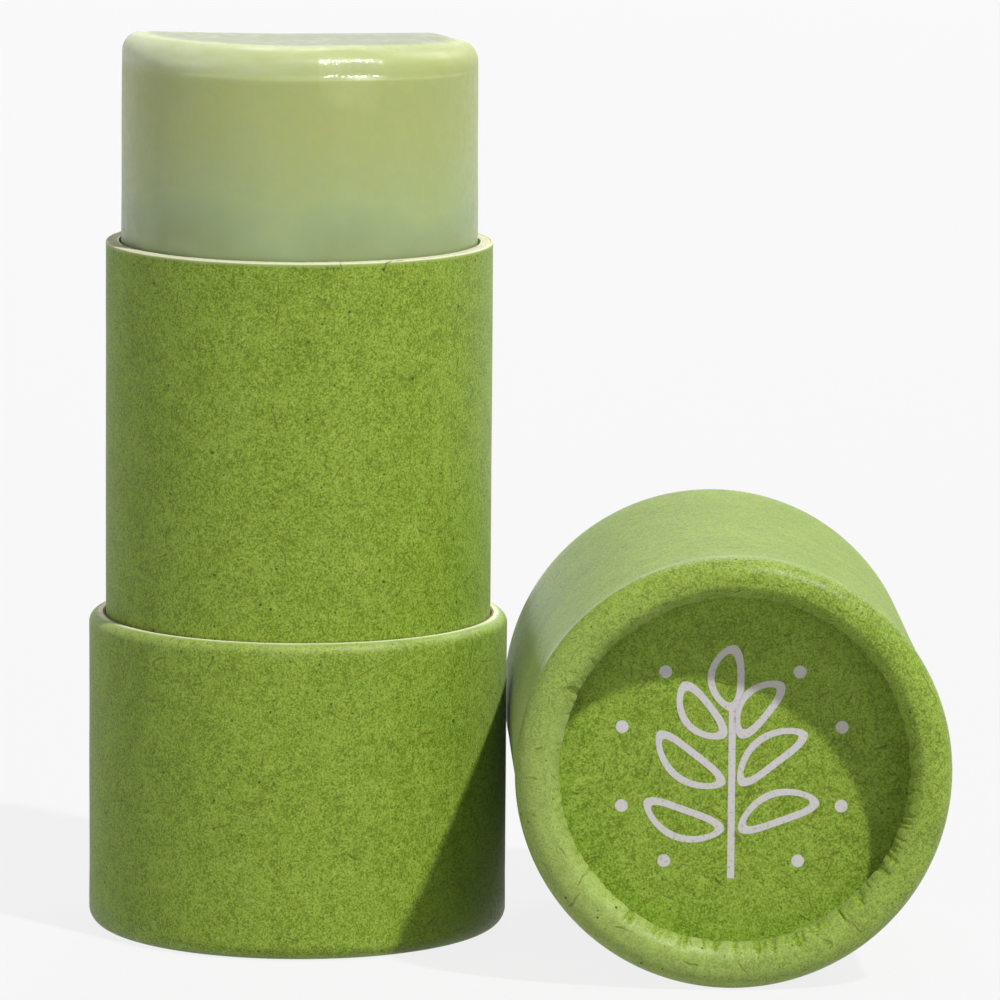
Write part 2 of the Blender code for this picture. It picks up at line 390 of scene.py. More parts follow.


# %% [markdown]
# ## Green kraft paper
#
# The paper is uncoated kraft, dyed green. Close up it is a felt of fibres: a
# fine mottle of light and dark green, dark specks of bark a tenth of a
# millimetre wide, and here and there a hair a millimetre long. Where the paper
# was bent hard it is paler from rubbing. Down in each crease it is painted
# darker, as painted shade, and on the cap's roll a line and a patch are painted
# paler, as painted highlight.
#
# The mottle is a sum of noises of different grain. Specks and hairs come from
# Voronoi cells, of which only some are let through. A speck is the ball round
# the cell's centre. A hair is a thin slice of that ball in a random direction,
# which meets the surface in a short line. The place is stirred first, so the
# line bends, and a slice that lies almost in the surface is faded out.

# %% Make the kraft material
KRAFT_DEEP = (0.125, 0.208, 0.007)
KRAFT_MID = (0.218, 0.334, 0.026)
KRAFT_LIGHT = (0.300, 0.430, 0.050)
KRAFT_BRIGHT = (0.386, 0.530, 0.088)
KRAFT_PALE = (0.450, 0.545, 0.190)
KRAFT_OLIVE = (0.245, 0.290, 0.016)
CUT_CREAM = (0.820, 0.830, 0.560)
BARK = (0.040, 0.070, 0.006)
HAIR_BROWN = (0.150, 0.125, 0.015)
HAIR_BEND = (1.2, 1.2, 1.2)
GRAINS = (
    # grains per millimetre, weight, detail, roughness
    (9.0, 0.66, 0.0, 0.5),
    (5.5, 0.62, 1.0, 0.8),
    (2.4, 0.40, 1.0, 0.7),
    (0.9, 0.20, 1.0, 0.6),
    (0.3, 0.22, 2.0, 0.6),
)


def mottled(place):
    """A sum of noises of different grain, 0.5 on the whole."""
    total = 0.5
    for grains, weight, detail, roughness in GRAINS:
        swing = sums("SUBTRACT", clouds(place, grains, detail, roughness), 0.5)
        total = sums("MULTIPLY_ADD", swing, weight, total)
    return total


def cells(place, size):
    """Voronoi cells of a size in millimetres: way from the centre, its length, a random colour."""
    voronoi = node(place, "TexVoronoi", {"Vector": place, "Scale": 1 / size})
    way = vectors("SUBTRACT", place, voronoi.outputs["Position"])
    return way, vectors("LENGTH", way, output="Value"), voronoi.outputs["Color"]


def specks(place, size, share, radius):
    """Dots of a radius in millimetres in a share of the cells."""
    _, away, random_colour = cells(place, size)
    chances = node(place, "SeparateColor", {"Color": random_colour}).outputs
    chosen = sums("LESS_THAN", chances[0], share)
    past_edge = sums("SUBTRACT", away, product(chances[1], radius))
    return product(chosen, between(past_edge, 0.0, radius * 0.5, 1.0, 0.0))


def hairs(place, size, share, length, width):
    """Thin, slightly bent lines in a share of the cells."""
    stir = node(place, "TexNoise", {"Vector": place, "Scale": 0.5, "Detail": 1.0}).outputs["Color"]
    bent = vectors("MULTIPLY_ADD", stir, HAIR_BEND, place)
    way, away, random_colour = cells(bent, size)
    facing = vectors("MULTIPLY_ADD", random_colour, (2, 2, 2), (-1, -1, -1))
    facing = vectors("NORMALIZE", facing)
    skin = node(place, "NewGeometry").outputs["True Normal"]
    across, lying = (
        sums("ABSOLUTE", vectors("DOT_PRODUCT", other, facing, output="Value"))
        for other in (way, skin))
    line = between(across, width * 0.3, width, 1.0, 0.0)
    line = product(line, between(lying, 0.55, 0.75, 1.0, 0.0))
    near = between(away, length * 0.35, length * 0.5, 1.0, 0.0)
    chance = node(place, "SeparateColor", {"Color": random_colour}).outputs[2]
    chosen = sums("LESS_THAN", sums("FRACT", product(chance, 7.0)), share)
    return product(product(line, near), chosen)


def make_kraft():
    material, tree, shader = fresh_material(
        "green kraft paper", Specular_IOR_Level=0.33, Sheen_Weight=0.16, Sheen_Roughness=0.4)
    place = millimetres(tree)
    far = millimetres(tree, shift=(17.0, 31.0, 5.0))
    mottle = mottled(place)
    wear_and_light = marked(tree, "wear_and_painted_light")
    colour = toned(mottle, [
        (0.30, KRAFT_DEEP), (0.47, KRAFT_MID), (0.63, KRAFT_LIGHT), (0.86, KRAFT_BRIGHT)])
    # Marks above 0 are handling and painted highlight, marks from 1 to 2 the cream cut edge, and
    # marks below 0 painted shade in the creases, mixed towards KRAFT_DEEP.
    for share, tint in (
            (between(clouds(far, 1.7, 1.0, 0.6), 0.55, 0.75, 0.0, 0.30), KRAFT_OLIVE),
            (between(clouds(far, 0.8, 2.0, 0.6), 0.64, 0.80, 0.0, 0.40), HAIR_BROWN),
            (between(wear_and_light, 0.0, 1.0, 0.0, 0.75), KRAFT_PALE),
            (between(wear_and_light, 1.0, 2.0), CUT_CREAM),
            (between(wear_and_light, -1.0, 0.0, 0.85, 0.0), KRAFT_DEEP)):
        colour = mixed(share, colour, tint)
    for layer, where, size, share, *measures, tint, strength in (
            (hairs, place, 2.20, 0.50, 1.7, 0.060, HAIR_BROWN, 0.75),
            (hairs, far, 1.90, 0.40, 1.0, 0.060, BARK, 0.60),
            (hairs, place, 1.20, 0.45, 0.8, 0.060, KRAFT_DEEP, 0.85),
            (hairs, far, 2.30, 0.45, 1.6, 0.045, KRAFT_BRIGHT, 0.55),
            (specks, place, 0.55, 0.50, 0.075, BARK, 0.65),
            (specks, far, 1.00, 0.45, 0.095, BARK, 0.90),
            (specks, place, 1.60, 0.25, 0.130, HAIR_BROWN, 0.60)):
        shape = layer(where, size, share, *measures)
        colour = mixed(product(shape, strength), colour, tint)
    rough = between(clouds(place, 2.4, 1.0, 0.7), 0.3, 0.7, 0.55, 0.69)
    plug(shader, {
        "Base Color": colour,
        "Roughness": sums("MULTIPLY_ADD", marked(tree, "polish"), -0.14, rough),
        "Normal": bumped(mottle, 0.4, 0.02)})
    return material


kraft = make_kraft()
print("kraft nodes:", len(kraft.node_tree.nodes))

# %% [markdown]
# ## Board, cut edges and greaseproof paper
#
# The tubes are wound from brown board, whose fibres catch the light. The neck's
# board is paler. Greaseproof paper is a dense, slightly shiny sheet. One recipe
# serves all three, each with its own colours: a fibre noise drawn out along the
# axis, wide patches and a few flecks.

# %% Make board and paper materials
BOARD_TAN = (0.445, 0.300, 0.150)
BOARD_DARK = (0.270, 0.170, 0.080)
BOARD_CREAM = (0.800, 0.770, 0.560)
BOARD_SHADE = (0.600, 0.550, 0.360)
PAPER_WHITE = (0.700, 0.680, 0.590)
PAPER_GREY = (0.560, 0.540, 0.450)


def make_board(name, light, dark, roughness, sheen):
    material, tree, shader = fresh_material(
        name, Roughness=roughness, Specular_IOR_Level=0.35, Sheen_Weight=sheen, Sheen_Roughness=0.5)
    place = millimetres(tree)
    fibre = clouds(millimetres(tree, stretch=(1, 1, 0.35)), 2.6, 4.0, 0.7)
    patch = product(clouds(place, 0.35, 2.0, 0.6), 0.3)
    colour = toned(sums("MULTIPLY_ADD", fibre, 0.7, patch), [(0.34, dark), (0.62, light)])
    plug(shader, {
        "Base Color": mixed(specks(place, 0.9, 0.25, 0.10), colour, dark),
        "Normal": bumped(fibre, 0.5, 0.04)})
    return material


tan_board = make_board("wound board", BOARD_TAN, BOARD_DARK, 0.85, 0.1)
cream_board = make_board("cut pale board", BOARD_CREAM, BOARD_SHADE, 0.85, 0.1)
greaseproof = make_board("greaseproof paper", PAPER_WHITE, PAPER_GREY, 0.45, 0.0)

# %% [markdown]
# ## The balm
#
# Cast balm is wax, oil and butter. Light goes some way in before it comes back,
# which softens every shadow on it, so it needs subsurface scattering. The body
# is yellower where the oils rose and greyer lower down, with soft clouds in it,
# and a darker band is painted where it meets the neck's rim, as painted shade.
# A pale bloom lies on the left of the round edge, part wax bloom and part
# painted sheen, and further down the left side it is painted sheen alone. The
# top is dull, and painted darker as painted shade. In front a mark left by
# lips or a finger is wet and lumpy. Sheen, top and mark are read from the
# marks and the polish that the shaping leaves on the points.

# %% Make the balm material
BALM_YELLOW = (0.447, 0.500, 0.165)
BALM_GREEN = (0.415, 0.508, 0.215)
BALM_GREY = (0.350, 0.445, 0.210)
# Pale wax bloom with painted sheen, laid on the left:
BALM_BLOOM_AND_SHEEN = (0.640, 0.715, 0.470)
# The top's colour, painted darker and greyer as painted shade:
BALM_SHADED_TOP = (0.335, 0.365, 0.250)
# Painted shade: a darker band that lies at the neck's rim when the balm is at rest.
BALM_PAINTED_SHADE = (0.310, 0.387, 0.160)
BALM_SCATTER = (1.0, 0.9, 0.5)


def balm_colour(place, wear_and_light, dull_and_shaded):
    """The body's ramp over its height, with a band of painted shade and a mist in it, then the pale
    left edge, wax film and painted sheen, and the top's painted shade.
    """
    height = node(place, "SeparateXYZ", {"Vector": place}).outputs["Z"]
    level = sums("MULTIPLY_ADD", clouds(place, 0.12, 3.0, 0.55), 9.0, height)
    # The stop at 0.13 is painted shade, a darker band where the balm meets the neck's rim at rest.
    colour = toned(between(level, BALM_TOP - 12.0, BALM_TOP + 3.0), [
        (0.0, BALM_GREY), (0.13, BALM_PAINTED_SHADE), (0.28, BALM_GREY),
        (0.45, BALM_GREEN), (0.85, BALM_YELLOW)])
    mist = between(clouds(place, 1.1, 3.0, 0.6), 0.35, 0.75, 0.0, 0.22)
    streaks = clouds(millimetres(place, stretch=(1, 1, 3)), 0.5, 3.0, 0.6)
    # Pale on the left edge and side: wax bloom and painted sheen.
    bloom_and_sheen = product(wear_and_light, between(streaks, 0.30, 0.70, 0.70, 1.0), clamp=True)
    for share, tint in ((mist, BALM_GREY), (bloom_and_sheen, BALM_BLOOM_AND_SHEEN), (dull_and_shaded, BALM_SHADED_TOP)):
        colour = mixed(share, colour, tint)
    return colour


def make_balm():
    material, tree, shader = fresh_material(
        "cast balm", Specular_IOR_Level=0.5, Subsurface_Weight=0.6,
        Subsurface_Scale=1.6 * MM, Subsurface_Radius=BALM_SCATTER)
    place = millimetres(tree)
    wear_and_light, smear = marked(tree, "wear_and_painted_light"), marked(tree, "polish")
    # The top is dull, which is its roughness, and its colour is painted darker: painted shade.
    dull_and_shaded = between(wear_and_light, -1.0, 0.0, 1.0, 0.0)
    ripple = clouds(place, 2.2, 3.0, 0.6)
    rough = between(ripple, 0.3, 0.7, 0.34, 0.50)
    oily = clouds(millimetres(tree, shift=(3.0, 9.0, 4.0)), 0.8, 3.0, 0.6)
    pitted = between(clouds(place, 3.4, 2.0, 0.7), 0.36, 0.50)
    wet = product(smear, pitted)
    lumps = product(smear, clouds(place, 2.2, 2.0, 0.6))
    skin = bumped(ripple, 0.35, 0.03)
    plug(shader, {
        "Base Color": balm_colour(place, wear_and_light, dull_and_shaded),
        "Roughness": sums("MULTIPLY_ADD", dull_and_shaded, 0.25, rough),
        "Normal": skin,
        "Coat Weight": sums("ADD", between(oily, 0.48, 0.62, 0.0, 0.20), wet, clamp=True),
        "Coat Roughness": sums("MULTIPLY_ADD", wet, -0.18, 0.30),
        "Coat Normal": bumped(lumps, 1.0, 0.11, Normal=skin)})
    return material


balm_finish = make_balm()
print("balm nodes:", len(balm_finish.node_tree.nodes))

# %% [markdown]
# ## How a paper tube is rolled in
#
# The foot of the base and the end of the cap are made the same way: the wall is
# rolled inwards and back up, and the turned-in leg clasps what stands in the
# tube. Rolling squeezes the wall onto a smaller circle, so it puckers. The
# puckers are short creases, deepest on the leg, and they die out before the
# widest part of the roll.
#
# Each crease has its own place, width, depth, reach and lean. They are drawn
# from a seeded generator, so every run gives the same ones, and sorted into
# sectors, so that a point only asks the few creases near it.

# %% Draw the creases
SECTORS = 90
CREASE_FADE = 0.9


def sector_of(turn):
    return int((turn % (2 * pi)) / (2 * pi) * SECTORS) % SECTORS


def add_crease(sectors, turn, width, depth, reach, lean):
    """List a crease in its own sector and in the two beside it."""
    for near in (-1, 0, 1):
        sectors[(sector_of(turn) + near) % SECTORS].append((turn, width, depth, reach, lean))


def draw_creases(seed, count, depth, leg, strength=lambda turn: 1.0):
    draw = random.Random(seed)
    sectors = [[] for _ in range(SECTORS)]
    for i in range(count):
        turn = 2 * pi * (i + draw.uniform(-0.45, 0.45)) / count
        add_crease(
            sectors, turn, draw.uniform(0.07, 0.17),
            draw.uniform(0.25, 1.0) ** 1.5 * depth * strength(turn),
            leg + draw.uniform(0.9, 2.0), draw.uniform(-0.22, 0.22))
    return sectors


def crease_depth(sectors, radius, turn, travelled):
    """Depth of all creases at a point, travelled millimetres out from the end of the leg."""
    total = 0.0
    for middle, width, depth, reach, lean in sectors[sector_of(turn)]:
        across = angle_between(turn, middle + lean * travelled / radius) * radius / width
        if abs(across) <= 3:
            fade = 1 - ease(travelled, reach - CREASE_FADE, reach)
            total += depth * exp(-across * across) * fade
    return total


# %% [markdown]
# ## The wrap's profile
#
# One function gives the kraft wrap of base and cap. Its skin starts at the cut
# edge inside the rim, folds over the board, runs down the wall, round the roll
# and up the leg. Then the underside of the paper comes back the same way with
# fewer points, because nobody sees it. Points lie close together on the leg and
# the inner bend, where the puckers need them.

# %% Profile of a rolled wrap
FINE = 0.13
COARSE = 0.9
WIDER = 0.28
UNEVEN = 0.18
WIDEST = radians(-70)
LEAN = 0.42


class Roll:
    """Sizes of a rolled tube end, and of the open rim at its other end."""

    def __init__(self, length, mouth, corner, turn_in, bulge=0.0, eased=0.0,
                 points=(FINE, COARSE, 16)):
        self.length, self.mouth, self.corner, self.turn_in = length, mouth, corner, turn_in
        self.eased, self.points = eased, points
        self.outer_centre = (TUBE_RADIUS + bulge - corner, corner)
        self.inner_centre = (mouth + corner, corner)
        self.rim_centre = (TUBE_RADIUS - RIM_ROUND, length - RIM_ROUND)
        self.wall_foot = corner + eased

    def skin(self, depth, fine, coarse, bend_steps):
        """Points at a depth below the outer skin, from the rim's cut edge to the leg's end."""
        rim = arc(self.rim_centre, RIM_ROUND - depth, 90, 0, bend_steps // 2)
        wall_end = (TUBE_RADIUS - depth, self.wall_foot)
        points = [(BORE + RIM_BOARD_SHOWS + GLUE_LINE, self.length - depth)] + rim
        points += run(rim[-1], wall_end, coarse)
        outer = arc(self.outer_centre, self.corner - depth, 0, -90, bend_steps)
        if self.eased:
            points += [wall_end] + run(wall_end, outer[0], fine * 2)
        points += outer
        inner = arc(self.inner_centre, self.corner - depth, -90, -180, bend_steps)
        points += run(outer[-1], inner[0], fine) + inner
        leg_end = (self.mouth + depth, self.turn_in)
        return points + run(inner[-1], leg_end, fine) + [leg_end]

    def profile(self):
        """The closed profile of the wrap, and the length of its outer skin."""
        outside = self.skin(0, *self.points)
        inside = self.skin(WRAP_PAPER, 1.5, 14.0, 4)
        return outside + inside[::-1], sum(dist(a, b) for a, b in zip(outside, outside[1:]))

    def give(self, radius, turn, height):
        """How far a point of wrap or board yields outwards round the cap's opening.

        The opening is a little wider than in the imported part, most so at one
        side, and the leg behind it leans outwards. What touches the flange stays.
        """
        if not self.eased or radius > self.outer_centre[0]:
            return 0.0
        bend = dist((radius, height), self.inner_centre)
        depth = radius - self.mouth if height > self.corner else self.corner - bend
        skin = min(max(1 - depth / SLEEVE_WALL, 0.0), 1.0)
        near = 1 - ease(radius, self.mouth + 0.2, self.outer_centre[0])
        wider = WIDER + UNEVEN * cos(angle_between(turn, WIDEST))
        lean = LEAN * max(height - self.corner, 0.0) / (self.turn_in - self.corner)
        return skin * (near * wider + lean)


CAP_ROLL = Roll(
    CAP_LENGTH, CAP_MOUTH, CAP_CORNER, CAP_TURN_IN, CAP_BULGE, CAP_EASE, (0.28, 3.0, 12))
FOOT_ROLL = Roll(BASE_HEIGHT, mouth=11.00, corner=1.10, turn_in=3.50)
print(f"cap skin: {CAP_ROLL.profile()[1]:.1f} mm long")

# %% [markdown]
# ## The base's wrap
#
# From outside it is a plain sleeve, so small things have to carry it: the soft
# fold over the rim, shallow dents from handling, the overlap where the sheet
# meets itself at the back, and the puckered foot underneath. All shaping goes
# inwards from the nominal skin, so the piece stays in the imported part's box.

# %% Shape and place the base's wrap
OVERLAP_STEP = 0.06
OVERLAP_FADE = 0.35
DENT = 0.035
BASE_SEAM = radians(118)
# A pale line painted round the cap's barrel where the rolling tool stopped, as painted highlight:
# its height and width.
HIGHLIGHT_LINE_HEIGHT = 1.42
HIGHLIGHT_LINE_WIDTH = 0.16
# How much darker the creases are painted, as painted shade.
CREASE_PAINTED_SHADE = 4.5
CUT_WEAR = 1.6


def overlap(turn, seam):
    """How far the skin sinks beside the sheet's edge, and 0 where the sheet lies double."""
    past = (turn - seam) % (2 * pi)
    return OVERLAP_STEP * (1 - past / OVERLAP_FADE) if past < OVERLAP_FADE else 0.0


def dents(radius, turn, height, depth, seed):
    """How far the skin is dented, widely and in small spots."""
    wide = wander(radius, turn, height, 9.0, seed)
    small = wander(radius, turn, height, 2.6, seed + 1)
    return depth * max(0.5 + 0.5 * wide + 0.25 * small, 0.0)


def shape_wrap(roll, creases, seam, pucker_reach, scallop, highlight_line=0.0, rubbed_and_lit=lambda turn: 0.0):
    """A function for shaped() that wears in a rolled wrap."""
    _, skin_length = roll.profile()
    leg = roll.turn_in - roll.corner

    def move(radius, turn, height, along):
        given = roll.give(radius, turn, height)
        if along > skin_length:
            return radius + given, turn, height, 0.0
        travelled = skin_length - along
        on_wall = ease(travelled, leg + 4.6, leg + 7.0) * ease(along, 0.4, 2.5)
        sink = dents(radius, turn, height, DENT, 1) * on_wall
        if seam is not None:
            sink += overlap(turn, seam) * on_wall
        rolled = 1 - ease(travelled, pucker_reach * 0.5, pucker_reach)
        crease = crease_depth(creases, radius, turn, travelled)
        swell = 0.5 * wander(radius, turn, 0.0, 1.1, 3) + 0.5 * wander(radius, turn, 0.0, 2.7, 4)
        pinch = crease - scallop * swell * rolled
        raised = 0.0
        if travelled < leg:
            radius += pinch
        elif travelled < leg + roll.corner * pi / 2:
            out = (Vector((radius, height)) - Vector(roll.inner_centre)).normalized()
            radius -= out.x * pinch
            height -= out.y * pinch
        elif height < 0.3:
            height += max(pinch, 0.0)
        elif highlight_line:
            # Painted highlight: only the colour is made paler along this line, and the skin is not
            # raised.
            raised = highlight_line * exp(-((height - HIGHLIGHT_LINE_HEIGHT) / HIGHLIGHT_LINE_WIDTH) ** 2)
            raised *= 0.6 + 0.8 * wander(radius, turn, 0.0, 1.3, 5)
        rim = (1 - ease(along, 0.5, 2.0)) * (0.45 + 0.25 * wander(radius, turn, 0.0, 3.0, 6))
        ring = 1 - ease(travelled, leg + 3.4, leg + 5.6)
        # Paler at the rim and on the swells from handling, and paler still where painted highlight
        # is given: on the cap's roll and along the line round its barrel.
        wear_and_light = rim + 0.35 * swell * rolled + rubbed_and_lit(turn) * ring + max(raised, 0.0)
        # Painted shade: each crease is painted darker by its depth.
        wear_and_light -= CREASE_PAINTED_SHADE * crease
        cut_edge = CUT_WEAR * (1 - ease(along, 0.20, 0.50))
        return radius + given - sink, turn, height, min(max(wear_and_light, -1.0), 1.0) + cut_edge

    return move


def shine(roll):
    """A function for polished(): rims and rolls are the most handled."""

    def share_at(radius, height, turn):
        rim = 0.7 * ease(height, roll.length - 0.9, roll.length - 0.3)
        outside = 1 - ease(height, roll.corner + 0.2, roll.corner + 1.4)
        inside = 1 - ease(height, 0.8, roll.corner + 0.3)
        return max(rim, outside if radius > roll.inner_centre[0] else inside)

    return share_at


foot_creases = draw_creases(seed=11, count=150, depth=0.06, leg=1.4)
base_skin = shaped(
    turned(FOOT_ROLL.profile()[0]),
    shape_wrap(FOOT_ROLL, foot_creases, BASE_SEAM, pucker_reach=3.4, scallop=0.05))
finished(
    polished(base_skin, shine(FOOT_ROLL)), "base_kraft", "tube", kraft, "kraft_green", "base_wrap")

# %% [markdown]
# ## The boards inside the wraps
#
# Of the base's board only a hair-thin raw edge shows, inside the rim. Of the
# cap's board the whole bore shows from behind, with the line where its plies
# were wound in a spiral. Both follow the roll a paper's thickness inside the
# wrap. The raw edge is roughened and the spiral is pressed in.

# %% Make both boards
SPIRAL_PITCH = 26.0
SPIRAL_DEPTH = 0.05


def board_outline(roll, fine):
    """The board lies a paper's thickness under the wrap, and its raw edge shows at the rim."""
    depth = WRAP_PAPER + GLUE_LINE
    covered = roll.skin(depth, 1.0, 2.0, 8)
    covered[0] = (BORE + RIM_BOARD_SHOWS, roll.length - depth)
    edge = [(BORE + RIM_BOARD_SHOWS * share, roll.length) for share in (0, 0.5, 1)]
    inside = roll.skin(SLEEVE_WALL, 1.0, 2.0, 4)
    bore_end = (BORE, roll.wall_foot)
    bend = next(i for i, point in enumerate(inside) if point[1] < bore_end[1] + 0.01)
    wall = run(edge[0], bore_end, fine)
    return edge + covered + inside[bend:][::-1] + [bore_end] + wall[::-1]


def shape_board(roll, seed):
    def move(radius, turn, height, along):
        radius += roll.give(radius, turn, height)
        if height > roll.length - 0.02 and radius < BORE + RIM_BOARD_SHOWS + 0.01:
            height -= 0.03 * (1 + wander(radius, turn, height, 0.35, seed))
        elif radius < BORE + 0.005 and roll.wall_foot < height < roll.length - 0.3:
            past = (height / SPIRAL_PITCH - turn / (2 * pi)) % 1.0
            groove = exp(-((past - 0.5) * SPIRAL_PITCH / 0.16) ** 2)
            step = ease(past, 0.5, 0.505) * (1 - ease(past, 0.505, 0.9))
            radius += SPIRAL_DEPTH * (0.5 * groove + 0.5 * step)
        return radius, turn, height, 0.0

    return move


for roll, name, body, node_name, fine, seed in (
        (FOOT_ROLL, "base_board", "tube", "base_tube", 4.0, 5),
        (CAP_ROLL, "cap_board", "cap", "cap_tube", 0.5, 6)):
    mesh = shaped(turned(board_outline(roll, fine), sides=PLAIN_SIDES), shape_board(roll, seed))
    finished(mesh, name, body, tan_board, "tube_board", node_name)

# %% [markdown]
# ## The neck
#
# The neck is three tubes in each other: wrap, board and greaseproof lining. All
# are cut together, so at the rim they show as a green line, a cream band and a
# thin pale line. The knife leaves the edge a little ragged, and the three are
# never quite level.

# %% Make the neck
CUT_ROUGH = 0.035
CUT_SPACING = 0.12
NECK_SEAM = radians(75)


def tube_profile(outer, inner, softened, spacing):
    """A plain tube over the neck's height, softened at its top edge."""
    top = arc((outer - softened, NECK_TOP - softened), softened, 90, 0, 4)
    shoulder = (outer, NECK_TOP - 0.7)
    outer_foot, inner_foot, inner_top = (outer, NECK_FOOT), (inner, NECK_FOOT), (inner, NECK_TOP)
    down = run(top[-1], shoulder, CUT_SPACING) + [shoulder] + run(shoulder, outer_foot, spacing)
    up = run(inner_foot, inner_top, spacing)
    cut = run(inner_top, top[0], CUT_SPACING)
    return top + down + [outer_foot, inner_foot] + up + [inner_top] + cut


def shape_cut(seed, skin):
    """Roughens the cut at the top, and dents and overlaps the skin of a wrap, if it has one."""

    def move(radius, turn, height, along):
        if height > NECK_TOP - CUT_SPACING:
            ragged = wander(radius, turn, 0.0, 0.28, seed)
            ragged += 0.8 * wander(radius, turn, 0.0, 1.6, seed + 1)
            height -= CUT_ROUGH * (1.2 + ragged) / 2
        if skin and radius > skin - 0.01 and height < NECK_TOP - 0.3:
            radius -= (dents(radius, turn, height, DENT * 0.7, seed + 2)
                       + overlap(turn, NECK_SEAM) * 0.5)
        frayed = 0.5 + 0.5 * wander(radius, turn, 0.0, 0.9, seed + 4)
        wear_and_light = 0.9 * ease(height, NECK_TOP - 0.30 - 0.15 * frayed, NECK_TOP - 0.08)
        return radius, turn, height, wear_and_light + 0.9 * ease(height, NECK_TOP - 0.13, NECK_TOP - 0.06)

    return move


board_outer = NECK_RADIUS - WRAP_PAPER - GLUE_LINE
liner_inner = LINER_OUTER - LINER_PAPER
for outer, inner, softened, spacing, seed, skin, *piece in (
        (NECK_RADIUS, NECK_RADIUS - WRAP_PAPER, 0.10, COARSE, 20, NECK_RADIUS,
         "neck_kraft", "tube", kraft, "kraft_green", "neck_wrap"),
        (board_outer, board_outer - NECK_BOARD, 0.05, 6.0, 30, None,
         "neck_board", "tube", cream_board, "pale_board", "neck_tube"),
        (LINER_OUTER, liner_inner, 0.02, 3.0, 40, None,
         "neck_lining", "tube", greaseproof, "greaseproof", "neck_liner")):
    mesh = turned(tube_profile(outer, inner, softened, spacing))
    finished(shaped(mesh, shape_cut(seed, skin)), *piece)
print(f"bore {liner_inner:.2f} mm in radius")

# %% [markdown]
# ## What pushes the balm
#
# Out of sight in the picture, but not from below: a board disc glued in a short
# board ring, and a round of greaseproof paper on top. The finger meets the
# disc. Its edges are punched, so they are rounded by a die, and its faces are
# a little wavy, as thin board is once glue has dried on it.

# %% Make ring, disc and barrier
EDGE = 0.12
DISC_WAVE = 0.08


def rounded_ring(outer, low, high, inner, edge):
    corners = [((outer - edge, high - edge), 90, 0), ((outer - edge, low + edge), 0, -90),
               ((inner + edge, low + edge), -90, -180), ((inner + edge, high - edge), 180, 90)]
    return [point for centre, start, end in corners for point in arc(centre, edge, start, end, 4)]


def rounded_disc(radius, low, high, edge, spacing):
    top = arc((radius - edge, high - edge), edge, 90, 0, 4)
    bottom = arc((radius - edge, low + edge), edge, 0, -90, 4)
    return ([(0, high)] + run((0, high), top[0], spacing) + top + bottom
            + run(bottom[-1], (0, low), spacing) + [(0, low)])


def shape_disc(radius, turn, height, along):
    """Gentle waves in both faces of the disc, none of them outwards."""
    wave = DISC_WAVE * 0.5 * (1 + wander(radius, turn, 0.0, 4.0, 50))
    wave *= 1 - ease(radius, 9.5, 11.0)
    height += wave if height < (DISC[1] + DISC[2]) / 2 else -wave
    return radius, turn, height, 0.0


finished(
    turned(rounded_ring(*RING, RING[0] - RING_BOARD, EDGE), sides=PLAIN_SIDES),
    "push_ring_board", "plunger", cream_board, "pale_board", "push_ring")
finished(
    shaped(turned(rounded_disc(*DISC, EDGE, 0.6), closed=False, sides=PLAIN_SIDES), shape_disc),
    "push_disc_board", "plunger", tan_board, "tube_board", "push_disc")
finished(
    turned(rounded_disc(*BARRIER, 0.03, 2.0), closed=False, sides=PLAIN_SIDES),
    "barrier_paper", "plunger", greaseproof, "greaseproof", "barrier_disc")

# %% [markdown]
# ## The balm stick
#
# The stick was cast in a mould and has been used once or twice. The profile
# gives a round edge and a dished top. The shaping makes the edge rounder in
# front and lower at the right, lets the top fall towards the back, and gives
# the skin slow waves. In front the round edge ends in a small step, and the
# glossy mark of lips or a finger lies there, pressed flat.

# %% Shape and place the balm
BALM_EDGE = 1.00
BALM_SOFTEST = 2.10
BALM_DISH = 0.12
BALM_HEAD = BALM_RADIUS - 0.10
BALM_FLAT = BALM_HEAD - BALM_EDGE
EDGE_FOOT = BALM_TOP - BALM_EDGE
SHAPED_FROM = NECK_TOP - 1.0
SOFT_SIDE = radians(-80)
LOW_SIDE = radians(-10)
LOW_BY = 0.5
TOP_SLOPE = 0.13
SLOPE_FROM = 1.0
SLOPE_BLEND = 1.2
SMEAR_TURN = radians(-73)
SMEAR_WIDTH = radians(11)
SMEAR_TOP = 1.05
SMEAR_FOOT = 1.95
STEP_DEPTH = 0.24
STEP_BLEND = 0.16
STEP_WIDTH = 0.7
TOP_STEPS = 22
BALM_WAVES = 0.09
# Pale on the left: at the round edge wax bloom with painted sheen, on the side painted sheen.
BLOOM_AND_SHEEN_EDGE, PAINTED_SHEEN_SIDE = 0.95, 0.20


def edge_round(turn):
    """Radius of the top edge: crisp at the back, full in front."""
    soft = side_share(turn, SOFT_SIDE)
    return BALM_EDGE + (BALM_SOFTEST - BALM_EDGE) * soft * soft


def top_fall(depth):
    """How far the top has fallen at a depth behind the axis, in millimetres."""
    return TOP_SLOPE * SLOPE_BLEND * log(1 + exp((depth - SLOPE_FROM) / SLOPE_BLEND))


def balm_profile():
    top = [
        (BALM_FLAT * i / TOP_STEPS, BALM_TOP - BALM_DISH * (1 - (i / TOP_STEPS) ** 2))
        for i in range(TOP_STEPS)]
    edge = arc((BALM_FLAT, EDGE_FOOT), BALM_EDGE, 90, 0, 16)
    smeared, foot = (BALM_HEAD, BALM_TOP - 3.6), (BALM_RADIUS, BALM_FOOT)
    side = run(edge[-1], smeared, 0.08) + [smeared] + run(smeared, foot, 0.7)
    return top + edge + side + [foot] + run(foot, (0, BALM_FOOT), 2.0) + [(0, BALM_FOOT)]


